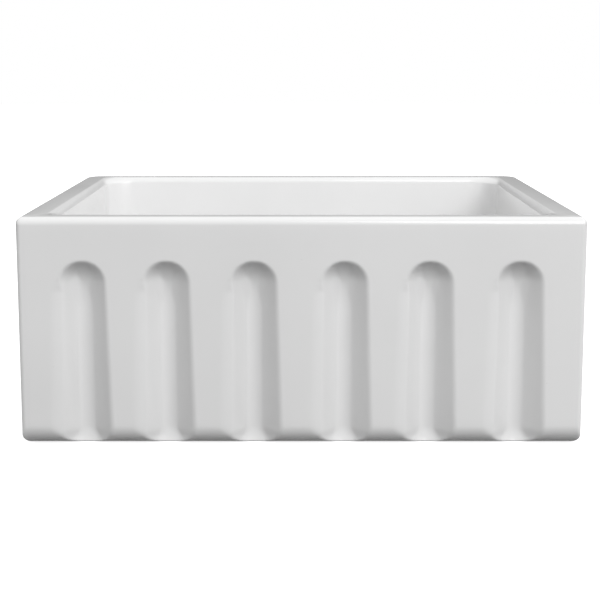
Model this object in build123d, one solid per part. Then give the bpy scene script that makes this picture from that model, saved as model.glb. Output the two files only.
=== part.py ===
from build123d import *
import os
from math import acos, atan, cos, hypot, pi, radians, sin, sqrt, tan

# A farmhouse apron-front sink: one glazed fireclay bowl with a fluted apron, and the basket
# strainer that makes it hold and drain water. Millimetres. The origin is the middle of the
# surface that the sink stands on, +X runs to the right of someone facing the apron, +Y runs
# from the apron to the back, and +Z is up.

# ---- fireclay body, outside ----
sink_width = 610.0        # left to right, 24 in
sink_depth = 457.0        # apron to back, 18 in
sink_height = 252.0       # standing surface to rim
rim_edge_r = 8.5          # long top edges, front and back
base_edge_r = 21.0        # long bottom edges, front and back
end_edge_r = 7.0          # all round each end face
foot_band = 46.0          # width of the unglazed band that the sink stands on
foot_panel_rise = 4.0     # hollow of the underside inside that band
foot_panel_corner = 30.0

# ---- flutes of the apron ----
flute_pitch = 94.0        # even spacing of the mould
flute_drift = [0.0, -3.9, -4.2, -0.7, -3.3, -0.7]   # hand finishing moves each one a little
flute_head_drop = 47.5    # rim to the crown of the arch
flute_head_depth = 16.5
flute_foot_depth = 20.7
flute_toe_z = 25.0        # height at which the floor starts to turn outward
flute_toe_depth = 14.5    # depth at the standing surface
flute_nose = 8.3          # half width of the hollow floor
flute_toe_nose = 18.0     # the same at the standing surface, where the flute spreads
flute_nose_lean = 19.0    # slope of the floor where it meets a flank, degrees
flute_flank_lean = 43.0   # slope of the flanks
flute_nose_blend = 5.0    # round between floor and flank
flute_cutter_height = 32.0    # how far the cutter's flanks reach out from its nose
flute_arris_r = 6.0       # worn-round edge of each flute

# ---- bowl ----
apron_wall = 30.0         # rim width, front and back
side_wall = 35.0          # rim width, left and right
bowl_draft = 1.6          # degrees
bowl_corner_top = 36.0    # plan radius under the rim
bowl_corner_floor = 42.0  # plan radius at the floor
bowl_floor_r = 32.0       # wall to floor
bowl_floor_z = 28.0       # floor above the standing surface
rim_roll_r = 7.5          # front and back inner edges of the rim
ledge_width = 14.0        # hollowed strip along each side of the bowl mouth
ledge_arris_r = 2.0       # inner edge of that strip
ledge_corner = 16.0       # plan radius where the strip ends at the front and back
ledge_curve = 1.8         # power of the strip's hollow: 1 is a flat slope
roll_steps = 8            # stations of the rolled edge
dish_r = 150.0            # floor falls to the drain inside this circle
dish_drop = 3.5

# ---- waste hole ----
waste_hole_r = 45.0       # 3 1/2 in nominal waste
flange_recess_r = 58.6
flange_recess_depth = 4.0
recess_edge_r = 1.2

# ---- strainer body ----
cup_r = 40.6              # inside
cup_wall = 2.1
cup_floor_z = -21.5       # cup floor at its wall
cup_floor_t = 2.2
flange_r = 57.0
flange_t = 2.6            # at its outer edge
flange_fall = 1.4         # the flange thins toward the cup
flange_lip_r = 44.5
seat_r = 21.4             # pocket that holds the spider
seat_fall = 4.5           # the cup floor falls to the outlet: this is the stopper's seat
outlet_wall = 4.2
outlet_end_z = -43.0
cup_bend_r = 3.0          # inside bends of the pressed cup
pressed_r = 1.0           # small rounds of the metal parts

# ---- seals and nuts under the sink ----
seal_t = 1.0              # putty seal under the flange
gasket_t = 3.0
gasket_r = 57.0
friction_ring_t = 1.5
lock_nut_t = 12.0
lock_nut_r = 53.0
lock_nut_lug = 6.5        # lugs stand out this far
lock_nut_lugs = 6
lug_width = 13.0
lock_nut_rib_t = 4.0
thread_gap = 0.05         # radial room between a nut and what it is screwed on
washer_t = 2.4
coupling_nut_t = 14.0
coupling_nut_lip = 3.0
coupling_nut_across = 57.0    # across the flats
nut_chamfer = 2.0         # turned off the coupling nut's points
washer_gap = 0.3          # radial room of the washer beyond the outlet
lip_gap = 0.95            # radial room of the nut's lip round the tailpiece
tailpiece_r = 19.05       # 1 1/2 in tube
tailpiece_gap = 0.35      # radial room of the outlet round that size

# ---- spider ----
spider_t = 3.0
spider_rim = 2.0
spider_arm = 4.5
spider_hub_r = 7.5
spider_arms = 4

# ---- basket ----
basket_gap = 0.6          # radial room between basket rim and cup
basket_rim_z = 19.0
basket_sheet = 0.9
basket_rim_width = 3.0
basket_floor_z = -10.0
basket_floor_r = 31.0
basket_bend_r = 3.0
basket_hole_r = 2.2
basket_ring_radii = [13.0, 20.0, 27.0]    # circles that the holes lie on
basket_hole_pitch = 10.0  # from hole to hole along a circle
basket_slots = 16
basket_slot_width = 3.2
basket_slot_height = 12.0
post_r = 4.0
post_collar_r = 6.5
post_collar_t = 2.0
post_pin_r = 2.5          # thin lower end of the post
tip_gap = 0.2             # radial room of the tip in the spider's hole
tip_r = 3.1
tip_length = 8.0
tip_slot = 1.0
tip_shoulder_r = 0.9
tip_nose_r = 2.1
pin_below_spider = 2.0
running_gap = 0.05        # radial room of the cup on its post
end_gap = 0.1             # axial room between pieces that turn on each other
soft_gap = 0.3            # room round rubber that touches another body

# ---- stopper and its fasteners ----
stopper_r = 28.0
stopper_top_r = 22.0
stopper_t = 8.6           # from the basket's floor to the plate
stopper_lip_t = 2.4
plate_r = 15.0
plate_t = 1.2
stem_nut_t = 3.6
stem_nut_across = 11.0
stem_nut_turn = 17.0      # where tightening left its flats

# ---- knob ----
knob_r = 12.5
knob_neck_r = 5.2
knob_neck_t = 4.0
knob_t = 8.5
knob_z = 25.0             # underside of the knob's neck
knob_under_r = 2.5        # round under the knob's edge
knob_crown_r = 5.0        # round over it
knob_dip = 1.2

# ---- places that follow from the sizes ----
front_y = -sink_depth / 2
bowl_half_x = sink_width / 2 - side_wall
bowl_half_y = sink_depth / 2 - apron_wall
flute_nose_sag = flute_nose * tan(radians(flute_nose_lean) / 2)
flute_head_half = flute_nose + (flute_head_depth - flute_nose_sag) / tan(radians(flute_flank_lean))
flute_head_z = sink_height - flute_head_drop - flute_head_half
dish_z = bowl_floor_z - dish_drop
recess_z = dish_z - flange_recess_depth
flange_z = recess_z + seal_t
cup_outer_r = cup_r + cup_wall
outlet_r = tailpiece_r + tailpiece_gap
outlet_outer_r = outlet_r + outlet_wall
gasket_bottom = foot_panel_rise - gasket_t
ring_bottom = gasket_bottom - friction_ring_t
lock_nut_bottom = ring_bottom - lock_nut_t
nut_bore_r = cup_outer_r + thread_gap
seat_z = cup_floor_z - seat_fall          # foot of the stopper's seat, top of the spider
spider_bottom = seat_z - spider_t
washer_bottom = outlet_end_z - washer_t
tip_hole_r = tip_r + tip_gap
basket_rim_r = cup_r - basket_gap
basket_underside = basket_floor_z - basket_sheet
plate_top = basket_underside - stopper_t
plate_bottom = plate_top - plate_t
stem_nut_top = plate_bottom - end_gap
stem_nut_bottom = stem_nut_top - stem_nut_t
tip_top = spider_bottom - pin_below_spider
seat_slope = seat_fall / (cup_r - seat_r)
same_place = 0.01         # two points closer than this are one


def outline(z, half_x, half_y, corner):
    """A rounded rectangle lying flat at height z."""
    return Pos(0, 0, z) * RectangleRounded(2 * half_x, 2 * half_y, corner)


def upright(radius, bottom, top):
    """A cylinder on the drain's axis."""
    return Pos(0, 0, (bottom + top) / 2) * Cylinder(radius, top - bottom)


def tube(outer, inner, bottom, top):
    return upright(outer, bottom, top) - upright(inner, bottom, top)


def turned(points, rounds=()):
    """The solid that a closed (radius, height) outline sweeps round the drain's axis.

    Each of rounds is a corner of the outline and the radius that it is rounded to.
    """
    face = make_face(Polyline(*[(r, 0, z) for r, z in points], close=True))
    for (r, z), radius in rounds:
        face = fillet(face.vertices().sort_by_distance((r, 0, z))[0], radius)
    return revolve(face, Axis.Z)


def around(piece, count):
    """Copies of a piece spaced evenly round the drain's axis."""
    return [Rot(0, 0, 360 * i / count) * piece for i in range(count)]


# ---------------------------------------------------------------- fireclay body
def apron_block():
    """The outside: the long edges first, then each end face's own rounded outline."""
    block = Pos(0, 0, sink_height / 2) * Box(sink_width, sink_depth, sink_height)
    block = fillet(block.edges().filter_by(Axis.X).group_by(Axis.Z)[0], base_edge_r)
    block = fillet(block.edges().filter_by(Axis.X).group_by(Axis.Z)[-1], rim_edge_r)
    return fillet(block.faces().filter_by(Axis.X).edges(), end_edge_r)


def flute_profile(nose):
    """The cutter's half outline: a hollow floor, a round and a flank. Its nose is at the origin."""
    sag = nose * tan(radians(flute_nose_lean) / 2)
    reach = nose + (flute_cutter_height - sag) / tan(radians(flute_flank_lean))
    nose_r = nose / sin(radians(flute_nose_lean))
    floor = CenterArc((0, -nose_r), nose_r, 90, -flute_nose_lean)
    flank = Line(floor @ 1, (reach, -flute_cutter_height))
    back = Polyline((reach, -flute_cutter_height), (0, -flute_cutter_height), (0, 0))
    face = make_face([floor, flank, back])
    corner = face.vertices().sort_by_distance((nose, -sag))[0]
    return fillet(corner, flute_nose_blend)


def flute_section(x, z, nose, depth):
    half = flute_profile(nose)
    return Pos(x, front_y + depth, z) * (half + mirror(half, Plane.YZ))


def flute_cutter(x):
    """A tapered groove: an arched head, a run that deepens downward and a toe that spreads out."""
    middle_z = (flute_head_z + flute_toe_z) / 2
    run = loft([
        flute_section(x, flute_head_z, flute_nose, flute_head_depth),
        flute_section(x, middle_z, flute_nose, (flute_head_depth + flute_foot_depth) / 2),
        flute_section(x, flute_toe_z, flute_nose, flute_foot_depth),
        flute_section(x, 0, flute_toe_nose, flute_toe_depth),
    ])
    half = Pos(x, front_y + flute_head_depth, flute_head_z) * flute_profile(flute_nose)
    arch = revolve(half, Axis((x, 0, flute_head_z), (0, -1, 0)), 180)
    return run + arch


def flute_centres():
    middle = (len(flute_drift) - 1) / 2
    return [(i - middle) * flute_pitch + drift for i, drift in enumerate(flute_drift)]


def is_flute_arris(edge):
    """True for the edges between a flute and the apron's outer surface."""
    middle = edge.center(CenterOf.BOUNDING_BOX)
    on_face = abs(edge.bounding_box().max.Y - front_y) < same_place
    on_base_round = middle.Z < base_edge_r and middle.Y < front_y + base_edge_r
    inside_ends = abs(middle.X) < sink_width / 2 - end_edge_r
    is_flute = edge.geom_type != GeomType.LINE or edge.bounding_box().size.X < flute_pitch / 2
    return inside_ends and is_flute and (on_face or on_base_round)


def fluted_block():
    block = apron_block()
    for x in flute_centres():
        block -= flute_cutter(x)
    return fillet(block.edges().filter_by(is_flute_arris), flute_arris_r)


def mouth_half_x(drop):
    """Half the mouth's length at a depth below the rim: the hollowed ledge, then its arris."""
    ledge_drop, lean = ledge_sizes()
    ledge_inner = bowl_half_x + ledge_arris_r * (1 - sin(lean))
    if drop <= ledge_drop:
        across = (drop / ledge_drop) ** (1 / ledge_curve)
        return bowl_half_x + ledge_width + (ledge_inner - bowl_half_x - ledge_width) * across
    turn = acos(max(-1.0, cos(lean) - (drop - ledge_drop) / ledge_arris_r))
    return bowl_half_x + ledge_arris_r * (1 - sin(turn))


def ledge_sizes():
    """The ledge's fall and its slope at the arris, so that both rims reach the wall together."""
    lean = atan(ledge_curve * rim_roll_r / 2 / ledge_width)
    return rim_roll_r - ledge_arris_r * cos(lean), lean


def mouth_cutter():
    """The rim's rolled inner edge, which hollows into a ledge along both sides."""
    sections = []
    for step in range(roll_steps + 1):
        turn = pi / 2 * step / roll_steps
        drop = rim_roll_r * (1 - cos(turn))
        half_y = bowl_half_y + rim_roll_r * (1 - sin(turn))
        corner = ledge_corner + (bowl_corner_top - ledge_corner) * sin(turn)
        sections.append(outline(sink_height - drop, mouth_half_x(drop), half_y, corner))
    return loft(sections)


def bowl_cutter():
    """Drafted walls with a generous round at the floor."""
    wall_top = sink_height - rim_roll_r
    inset = tan(radians(bowl_draft)) * (wall_top - bowl_floor_z)
    mouth = outline(wall_top, bowl_half_x, bowl_half_y, bowl_corner_top)
    floor = outline(bowl_floor_z, bowl_half_x - inset, bowl_half_y - inset, bowl_corner_floor)
    walls = loft([mouth, floor], ruled=True)
    return fillet(walls.edges().group_by(Axis.Z)[0], bowl_floor_r)


def drain_cutter():
    """The fall of the floor to the drain, the flange's recess and the waste hole."""
    dish = Pos(0, 0, bowl_floor_z - dish_drop / 2) * Cone(flange_recess_r, dish_r, dish_drop)
    return dish + upright(flange_recess_r, recess_z, dish_z) + upright(waste_hole_r, 0, recess_z)


def sink_body():
    body = fluted_block()
    for cutter in (mouth_cutter(), bowl_cutter(), drain_cutter()):
        body -= cutter
    panel = outline(0, sink_width / 2 - foot_band, sink_depth / 2 - foot_band, foot_panel_corner)
    body -= extrude(panel, foot_panel_rise)
    recess_edges = body.edges().filter_by(
        lambda edge: edge.geom_type == GeomType.CIRCLE
        and abs(edge.radius - flange_recess_r) < same_place
        and abs(edge.center().Z - dish_z) < same_place)
    return fillet(recess_edges, recess_edge_r)


# ---------------------------------------------------------------- strainer
def strainer_body():
    """Pressed flange and cup, with the threaded outlet below."""
    flange_top = flange_z + flange_t
    lip_z = flange_top - flange_fall
    throat_z = lip_z - (flange_lip_r - cup_r)
    neck_z = flange_z - (waste_hole_r - cup_outer_r)
    inner_corner = (cup_r, cup_floor_z)
    outer_corner = (cup_outer_r, cup_floor_z - cup_floor_t)
    points = [
        (flange_r, flange_z),
        (flange_r, flange_top),
        (flange_lip_r, lip_z),
        (cup_r, throat_z),
        inner_corner,
        (seat_r, seat_z),
        (seat_r, spider_bottom),
        (outlet_r, spider_bottom),
        (outlet_r, outlet_end_z),
        (outlet_outer_r, outlet_end_z),
        (outlet_outer_r, seat_z - cup_floor_t),
        outer_corner,
        (cup_outer_r, neck_z),
        (waste_hole_r, flange_z),
    ]
    rounds = [
        ((flange_r, flange_top), flange_t / 2),
        ((flange_lip_r, lip_z), pressed_r),
        ((cup_r, throat_z), cup_bend_r),
        (inner_corner, cup_bend_r),
        (outer_corner, cup_bend_r + cup_wall),
    ]
    return turned(points, rounds)


def flange_seal():
    return tube(flange_r, waste_hole_r, recess_z, flange_z)


def rubber_gasket():
    return tube(gasket_r, nut_bore_r, gasket_bottom, foot_panel_rise)


def friction_ring():
    return tube(gasket_r, nut_bore_r, ring_bottom, gasket_bottom)


def lock_nut():
    """A cast ring nut: a flat collar under the seals and lugs for the wrench below it."""
    collar_z = ring_bottom - lock_nut_rib_t
    lug = Pos(lock_nut_r, 0, (lock_nut_bottom + ring_bottom) / 2) * Box(
        2 * lock_nut_lug, lug_width, lock_nut_t)
    nut = upright(lock_nut_r - lock_nut_lug / 2, lock_nut_bottom, ring_bottom)
    nut += upright(gasket_r, collar_z, ring_bottom)
    for piece in around(lug, lock_nut_lugs):
        nut += piece
    return nut - upright(nut_bore_r, lock_nut_bottom, ring_bottom)


def spider():
    """The cross in the outlet that guides the basket's post."""
    rim = tube(seat_r, outlet_r - spider_rim, spider_bottom, seat_z)
    arm = Pos((seat_r - spider_rim / 2) / 2, 0, seat_z - spider_t / 2) * Box(
        seat_r - spider_rim / 2, spider_arm, spider_t)
    cross = rim + upright(spider_hub_r, spider_bottom, seat_z)
    for piece in around(arm, spider_arms):
        cross += piece
    return cross - upright(tip_hole_r, spider_bottom, seat_z)


def outlet_washer():
    return tube(outlet_outer_r, outlet_r + washer_gap, washer_bottom, outlet_end_z)


def coupling_nut():
    """The slip-joint nut that takes the tailpiece."""
    bottom = washer_bottom - coupling_nut_lip
    across = RegularPolygon(coupling_nut_across / 2, 6, major_radius=False)
    nut = Pos(0, 0, bottom) * extrude(across, coupling_nut_t)
    nut &= turned_limits(bottom, bottom + coupling_nut_t, coupling_nut_across / sqrt(3))
    nut -= upright(outlet_outer_r + thread_gap, washer_bottom, bottom + coupling_nut_t)
    return nut - upright(tailpiece_r + lip_gap, bottom, washer_bottom)


def turned_limits(bottom, top, corner_r):
    """A cylinder with its rims turned off, which rounds a hexagon's points as on a real nut."""
    blank = upright(corner_r, bottom, top)
    return chamfer(blank.edges().filter_by(GeomType.CIRCLE), nut_chamfer)


# ---------------------------------------------------------------- basket
def basket_cup():
    """A pressed sheet cup with a flat rim, holes in its floor and slots in its side."""
    rim_bottom = basket_rim_z - basket_sheet
    side_top_r = basket_rim_r - basket_rim_width
    lean = hypot(side_top_r - basket_floor_r, rim_bottom - basket_underside)
    shift = basket_sheet * lean / (rim_bottom - basket_underside)
    bore = post_r + running_gap
    inner_corner = (basket_floor_r - shift, basket_floor_z)
    outer_corner = (basket_floor_r, basket_underside)
    points = [
        (basket_rim_r, rim_bottom),
        (basket_rim_r, basket_rim_z),
        (side_top_r - shift, basket_rim_z),
        inner_corner,
        (bore, basket_floor_z),
        (bore, basket_underside),
        outer_corner,
        (side_top_r, rim_bottom),
    ]
    rounds = [
        ((side_top_r - shift, basket_rim_z), basket_bend_r / 2),
        (inner_corner, basket_bend_r - basket_sheet),
        (outer_corner, basket_bend_r),
    ]
    holes = []
    for ring_r in basket_ring_radii:
        hole = Pos(ring_r, 0, basket_floor_z) * Cylinder(basket_hole_r, 4 * basket_sheet)
        holes += around(hole, round(2 * pi * ring_r / basket_hole_pitch))
    slot_z = (basket_rim_z + basket_floor_z) / 2
    slot = Pos(side_top_r, 0, slot_z) * Rot(0, 90, 0) * extrude(
        SlotOverall(basket_slot_height, basket_slot_width), basket_floor_r / 2, both=True)
    cup = turned(points, rounds) - holes - around(slot, basket_slots)
    return Rot(0, 0, 180 / basket_slots) * cup


def basket_post():
    """Turned post: knob end, collar above the cup's floor, thread end and thin pin."""
    collar_bottom = basket_floor_z + end_gap
    collar_top = collar_bottom + post_collar_t
    return turned([
        (0, knob_z + knob_neck_t),
        (post_r, knob_z + knob_neck_t),
        (post_r, collar_top),
        (post_collar_r, collar_top),
        (post_collar_r, collar_bottom),
        (post_r, collar_bottom),
        (post_r, stem_nut_bottom),
        (post_pin_r, stem_nut_bottom),
        (post_pin_r, tip_top),
        (0, tip_top),
    ], [((post_collar_r, collar_top), post_collar_t / 2)])


def basket_knob():
    """A mushroom knob with a shallow dip in its crown, screwed on the post."""
    cap_z = knob_z + knob_neck_t
    top = cap_z + knob_t
    cap = turned([
        (0, knob_z),
        (knob_neck_r, knob_z),
        (knob_neck_r, cap_z),
        (knob_r, cap_z),
        (knob_r, top),
        (knob_neck_r, top),
        (0, top - knob_dip),
    ], [
        ((knob_neck_r, cap_z), pressed_r),
        ((knob_r, cap_z), knob_under_r),
        ((knob_r, top), knob_crown_r),
        ((knob_neck_r, top), pressed_r),
    ])
    return cap - upright(post_r, knob_z, cap_z)


def stopper_seal():
    """The rubber stopper: a bell whose lip closes on the cup's conical floor."""
    bore = post_r + soft_gap
    lip_z = seat_z + (stopper_r - seat_r) * seat_slope + soft_gap
    inner_r = stopper_r - stopper_lip_t
    shoulder = (stopper_r, (basket_underside + 2 * plate_top) / 3)
    return turned([
        (bore, basket_underside),
        (stopper_top_r, basket_underside),
        shoulder,
        (stopper_r, lip_z),
        (inner_r, lip_z - stopper_lip_t * seat_slope),
        (plate_r + soft_gap, plate_top),
        (bore, plate_top),
    ], [(shoulder, pressed_r)])


def seal_plate():
    return tube(plate_r, post_r + running_gap, plate_bottom, plate_top)


def stem_nut():
    across = RegularPolygon(stem_nut_across / 2, 6, major_radius=False)
    nut = Pos(0, 0, stem_nut_bottom) * Rot(0, 0, stem_nut_turn) * extrude(across, stem_nut_t)
    return nut - upright(post_r, stem_nut_bottom, stem_nut_top)


def snap_tip():
    """The split plastic bulb on the pin's end that clicks in the spider's hole."""
    bottom = tip_top - tip_length
    bulb = turned([
        (0, tip_top),
        (tip_r, tip_top),
        (tip_r, bottom),
        (0, bottom),
    ], [
        ((tip_r, tip_top), tip_shoulder_r),
        ((tip_r, bottom), tip_nose_r),
    ])
    return bulb - Pos(0, 0, bottom) * Box(tip_slot, 4 * tip_r, tip_length)


PIECES = {
    "sink_body": sink_body,
    "strainer_body": strainer_body,
    "flange_seal": flange_seal,
    "rubber_gasket": rubber_gasket,
    "friction_ring": friction_ring,
    "lock_nut": lock_nut,
    "outlet_spider": spider,
    "outlet_washer": outlet_washer,
    "coupling_nut": coupling_nut,
    "basket_cup": basket_cup,
    "basket_post": basket_post,
    "basket_knob": basket_knob,
    "stopper_seal": stopper_seal,
    "seal_plate": seal_plate,
    "stem_nut": stem_nut,
    "snap_tip": snap_tip,
}

os.makedirs("parts", exist_ok=True)
for name, make in PIECES.items():
    export_step(make(), f"parts/{name}.step")
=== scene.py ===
# %% [markdown]
# A farmhouse sink is one big fireclay casting with a glaze like thick glass, and a small steel
# strainer in its floor. This lesson dresses the imported construction model: it loads that model as
# a fixed frame, makes each piece again with the roundness and finish of the real one, and hangs
# each new piece on an empty named for the body that it belongs to, so that it moves with that body.

# %% Load the frame
from math import acos, atan, atan2, cos, dist, hypot, pi, radians, sin, sqrt, tan

import bmesh
import bpy
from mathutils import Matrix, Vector


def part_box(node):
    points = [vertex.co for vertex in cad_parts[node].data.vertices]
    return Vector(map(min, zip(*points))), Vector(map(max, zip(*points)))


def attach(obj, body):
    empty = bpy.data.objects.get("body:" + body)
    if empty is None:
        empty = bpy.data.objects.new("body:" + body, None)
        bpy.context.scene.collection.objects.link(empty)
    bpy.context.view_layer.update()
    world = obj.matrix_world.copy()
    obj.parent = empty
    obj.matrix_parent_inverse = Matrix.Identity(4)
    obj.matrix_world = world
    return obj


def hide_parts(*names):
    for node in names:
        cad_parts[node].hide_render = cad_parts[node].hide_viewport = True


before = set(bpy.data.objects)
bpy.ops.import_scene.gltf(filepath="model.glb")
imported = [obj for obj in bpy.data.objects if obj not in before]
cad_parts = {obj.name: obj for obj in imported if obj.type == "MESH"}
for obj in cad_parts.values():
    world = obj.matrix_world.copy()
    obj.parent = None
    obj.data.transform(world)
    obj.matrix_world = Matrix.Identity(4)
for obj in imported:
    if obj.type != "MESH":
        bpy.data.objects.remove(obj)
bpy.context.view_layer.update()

# %% [markdown]
# Every length below is written in millimetres, as on a drawing, and turned to metres where a mesh
# is made. The outside of the casting is read from the frame. Radii and the flutes' sizes can't be
# read from a box, so they stand here, equal or close to those of the construction model.

# %% Sizes
MM = 0.001
sink_low, sink_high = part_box("sink_body")
half_width = (sink_high.x - sink_low.x) / 2 / MM
half_depth = (sink_high.y - sink_low.y) / 2 / MM
rim_z = sink_high.z / MM
print("casting, mm:", round(2 * half_width), round(2 * half_depth), round(rim_z))


def mix(a, b, share):
    """The value that lies this share of the way from a to b."""
    return a + (b - a) * share


def sweep(start, end, steps, first=0):
    """Values from start to end in equal steps, from a given one on."""
    return [mix(start, end, step / steps) for step in range(first, steps + 1)]


def smooth(share):
    """An S-shaped share, level at both ends."""
    share = min(max(share, 0.0), 1.0)
    return share * share * (3 - 2 * share)


# %% [markdown]
# **Camera.** A long lens from a little above the rim shows the apron almost square on and the bowl
# as a thin sliver. Verticals stay nearly parallel because part of the downward look is lens shift
# and not tilt, as on a view camera.


# %% Camera
def placed(name, data):
    """A new object in the scene that shows this mesh, lamp or camera."""
    thing = bpy.data.objects.new(name, data)
    bpy.context.scene.collection.objects.link(thing)
    return thing


camera_y, camera_z, camera_tilt = -1526.7, 425.1, 8.073
camera_data = bpy.data.cameras.new("studio_camera")
camera_data.sensor_width = 36.0
camera_data.lens = 74.0
camera_data.shift_x = -0.0025
camera_data.shift_y = -0.12
camera_data.clip_start = 0.05
camera_data.clip_end = 50.0
camera = placed("studio_camera", camera_data)
camera.location = (0.0, camera_y * MM, camera_z * MM)
camera.rotation_euler = (radians(90 - camera_tilt), 0.0, 0.0)
bpy.context.scene.camera = camera
print("camera looks down by", camera_tilt, "degrees")

# %% [markdown]
# **Helpers for materials.** A colour is written as the hex value that a swatch book gives and
# turned to linear light by one function. One small function adds a node, sets it and links it. A
# pattern's scale comes from the size of its grain on the real surface, in millimetres.


# %% Colour and node helpers
def linear(hex_colour):
    """An sRGB hex colour as the linear RGBA that shaders use."""
    channels = [int(hex_colour[i:i + 2], 16) / 255 for i in (0, 2, 4)]
    return [c / 12.92 if c <= 0.04045 else ((c + 0.055) / 1.055) ** 2.4 for c in channels] + [1.0]


def add(tree, kind, settings=None, **links):
    """Adds a node. settings are its own values. links give its sockets a value or what goes in: a
    socket goes by its name, with _ for a space, or by its number after an i."""
    node = tree.nodes.new(kind)
    for name, value in (settings or {}).items():
        setattr(node, name, value)
    for name, value in links.items():
        key = int(name[1:]) if name[1:].isdigit() else name.replace("_", " ")
        socket = node.inputs[key]
        if isinstance(value, bpy.types.NodeSocket):
            tree.links.new(value, socket)
        else:
            socket.default_value = value
    return node


def new_material(name):
    """A material without any node, and its node tree."""
    material = bpy.data.materials.new(name)
    material.use_nodes = True
    material.node_tree.nodes.clear()
    return material, material.node_tree


def ramp(tree, value, low, high, low_colour, high_colour):
    """A value between low and high turned to a blend of two colours."""
    node = add(tree, "ShaderNodeMapRange", {"clamp": True}, i0=value, i1=low, i2=high)
    return add(tree, "ShaderNodeMix", {"data_type": "RGBA"}, i0=node.outputs[0], i6=low_colour,
               i7=high_colour).outputs[2]


def per(grain):
    """Scale of a pattern with a grain of so many millimetres."""
    return 1 / (grain * MM)


def surface(material, colour, rough, bump, **links):
    """Ends a material with its shader, fed with a colour, a roughness and a bump."""
    tree = material.node_tree
    shader = add(tree, "ShaderNodeBsdfPrincipled", Base_Color=colour, Roughness=rough,
                 Normal=bump.outputs[0], **links)
    add(tree, "ShaderNodeOutputMaterial", i0=shader.outputs[0])
    return material


# %% [markdown]
# **Glazed fireclay.** The clay is coarse and cream; the glaze over it is opaque white and fires to
# a glassy skin with a slow ripple, a fine orange peel and here and there a pin-prick. So colour
# hardly varies, and the ripple does the work: it bends reflections, which is what makes the eye
# read the surface as thick glaze and not as paint.


# %% Glaze
def glazed_fireclay():
    material, tree = new_material("fireclay_glazed_white")
    place = add(tree, "ShaderNodeTexCoord").outputs["Object"]
    ripple = add(tree, "ShaderNodeTexNoise", Vector=place, Scale=per(71.43), Detail=2.0, Roughness=0.4)
    peel = add(tree, "ShaderNodeTexNoise", Vector=place, Scale=per(2.381), Detail=2.0, Roughness=0.5)
    pooling = add(tree, "ShaderNodeTexNoise", Vector=place, Scale=per(200), Detail=3.0, Roughness=0.5)
    pricks = add(tree, "ShaderNodeTexVoronoi", {"feature": "F1"}, Vector=place, Scale=per(23.81))
    body = ramp(tree, pooling.outputs["Fac"], 0.35, 0.65, linear("e7e7e7"), linear("ebebeb"))
    colour = ramp(tree, pricks.outputs["Distance"], 0.010, 0.022, linear("d6d4d0"), body)
    rough = add(tree, "ShaderNodeMapRange", {"clamp": True}, i0=pooling.outputs["Fac"],
                i1=0.3, i2=0.7, i3=0.10, i4=0.16)
    waves = add(tree, "ShaderNodeBump", Strength=0.25, Distance=0.6 * MM, Height=ripple.outputs["Fac"])
    tooth = add(tree, "ShaderNodeBump", Strength=0.05, Distance=0.04 * MM, Height=peel.outputs["Fac"],
                Normal=waves.outputs[0])
    return surface(material, colour, rough.outputs[0], tooth, IOR=1.52)


glaze = glazed_fireclay()


# %% [markdown]
# **Bisque.** Under the sink the clay is left bare, because glaze would stick to the kiln shelf. It
# is a matt cream with darker grog, the crushed fired clay that keeps a big casting from cracking.


# %% Bare clay
def bare_fireclay():
    material, tree = new_material("fireclay_bare_bisque")
    place = add(tree, "ShaderNodeTexCoord").outputs["Object"]
    grog = add(tree, "ShaderNodeTexNoise", Vector=place, Scale=per(1.429), Detail=3.0, Roughness=0.7)
    stain = add(tree, "ShaderNodeTexNoise", Vector=place, Scale=per(111.1), Detail=4.0, Roughness=0.6)
    grains = ramp(tree, grog.outputs["Fac"], 0.36, 0.60, linear("b9a98c"), linear("d9ceb6"))
    stains = ramp(tree, stain.outputs["Fac"], 0.3, 0.7, linear("c8bfae"), linear("ffffff"))
    colour = add(tree, "ShaderNodeMix", {"data_type": "RGBA", "blend_type": "MULTIPLY"}, i0=0.35,
                 i6=grains, i7=stains)
    tooth = add(tree, "ShaderNodeBump", Strength=0.5, Distance=0.3 * MM, Height=grog.outputs["Fac"])
    return surface(material, colour.outputs[2], 0.92, tooth, IOR=1.5)


bisque = bare_fireclay()


# %% [markdown]
# **The casting.** It is one closed skin, so it is made as a stack of rings: each ring is a rounded
# rectangle with the same number of points, from the drain over the floor, up the bowl's walls,
# across the rim, down the outside and back under the foot to the drain. Neighbouring rings are
# joined by quads. Rings can follow every drafted wall and rolled edge exactly, which a box with
# bevels can't.

# %% Ring outline
front_corner, back_corner = 5.5, 22.0    # upright edges, seen from above
straight = half_width - front_corner     # half the straight run of the apron
flute_pitch = 94.0
flute_drift = [0.0, -3.9, -4.2, -0.7, -3.3, -0.7]
half_count = (len(flute_drift) - 1) / 2
flute_middles = [(i - half_count) * flute_pitch + drift for i, drift in enumerate(flute_drift)]
flute_span = 38.0                 # the fine points go this far to each side of a flute's middle
FLUTE_STEPS = 48
GAP_STEPS = 4
BACK_STEPS = 36
END_STEPS = 30
CORNER_STEPS = 10


def front_stations():
    """Places along the apron: close together over each flute and wide apart between them."""
    stations = [-straight]
    for middle in flute_middles + [None]:
        gap_end = straight if middle is None else middle - flute_span
        gap_start = stations[-1]
        stations += sweep(gap_start, gap_end, GAP_STEPS, 1)
        if middle is not None:
            stations += sweep(middle - flute_span, middle + flute_span, FLUTE_STEPS, 1)
    return stations


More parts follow.
